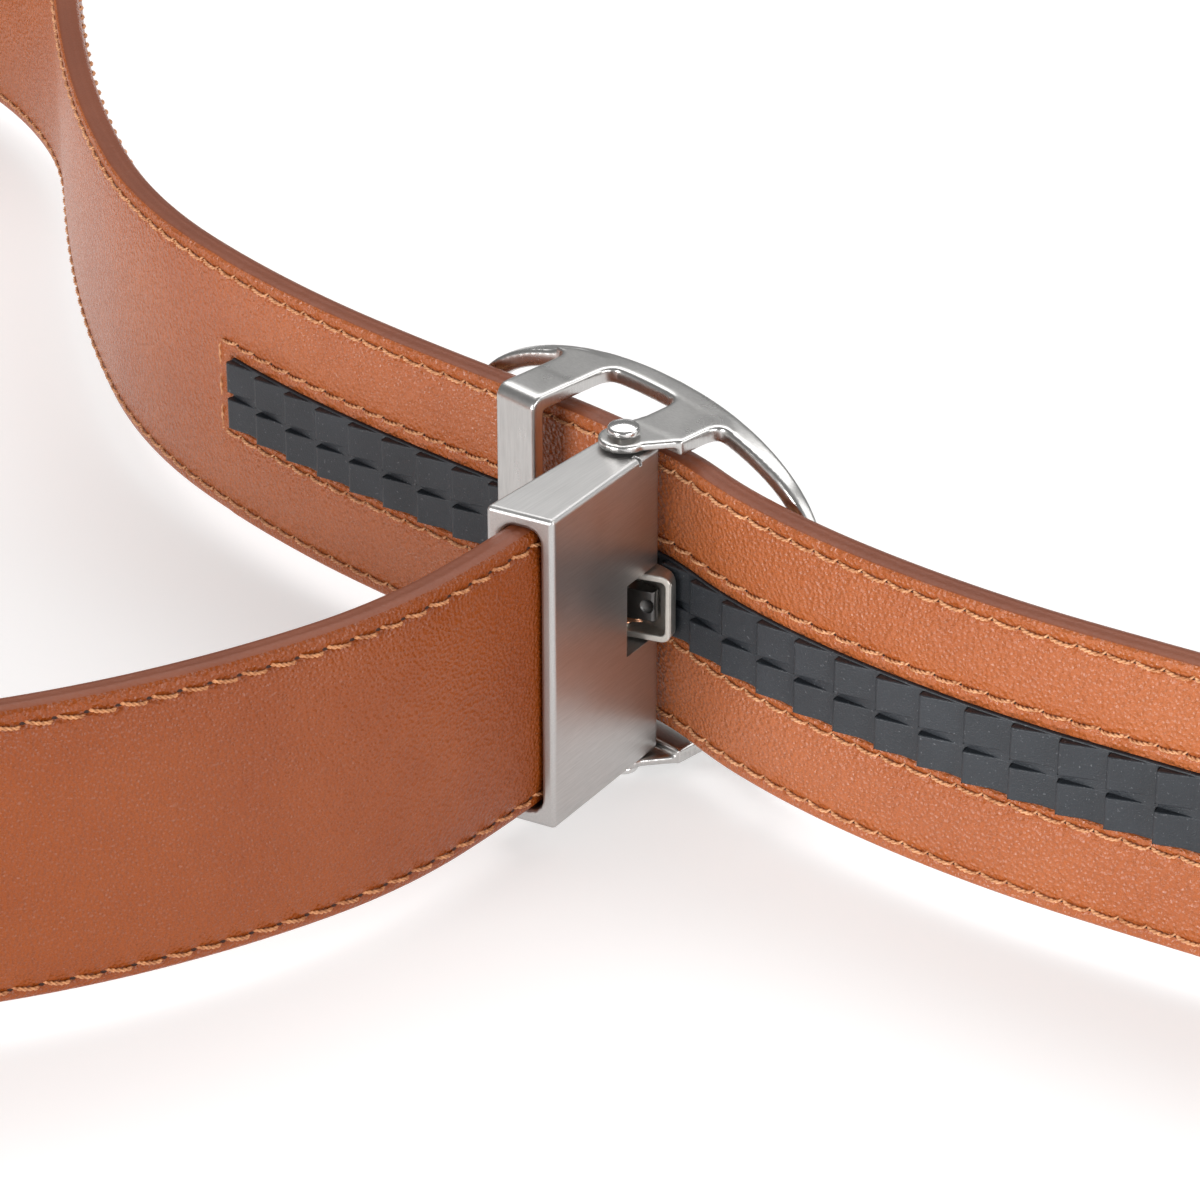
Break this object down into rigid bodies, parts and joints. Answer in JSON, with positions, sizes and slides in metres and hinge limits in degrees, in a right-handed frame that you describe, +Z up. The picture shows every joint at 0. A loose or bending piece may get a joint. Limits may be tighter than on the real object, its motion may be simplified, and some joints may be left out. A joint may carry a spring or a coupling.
{
  "type": "ratchet belt",
  "caption": "Leather waist belt in a loop on its edge, with a toothed track, an open bowed buckle frame with keeper, and a hinged clamp box with a sprung pawl.",
  "frame": {"origin": "on the surface the belt stands on, under the middle of the belt's box", "axes": "+Z up; +X to the right and +Y away from the picture's camera; the free end of the strap points to +X"},
  "size_m": [0.489, 0.3328, 0.0449],
  "materials": {
    "leather": "tan full-grain leather with a soft sheen",
    "track_rubber": "matt black",
    "satin_steel": "satin, finely brushed",
    "rivet_steel": "polished",
    "pawl_steel": "tumbled, slightly worn",
    "dark_steel": "dark, burnished"
  },
  "bodies": {
    "belt": {"strap": "leather", "track": "track_rubber", "buckle_frame": "satin_steel", "clamp_box": "satin_steel", "rivet_top": "rivet_steel", "rivet_bottom": "rivet_steel", "pawl_pin": "pawl_steel"},
    "pawl": {"pawl": "pawl_steel", "pawl_block": "dark_steel"}
  },
  "joints": [
    {"name": "pawl_hinge", "type": "hinge", "parent": "belt", "child": "pawl", "pos_m": [0.05422, -0.06856, 0.02265], "axis": [0, 0, -1], "range_deg": [0, 14], "stiffness_Nm_per_rad": 0.01, "springref_deg": -17.19}
  ]
}
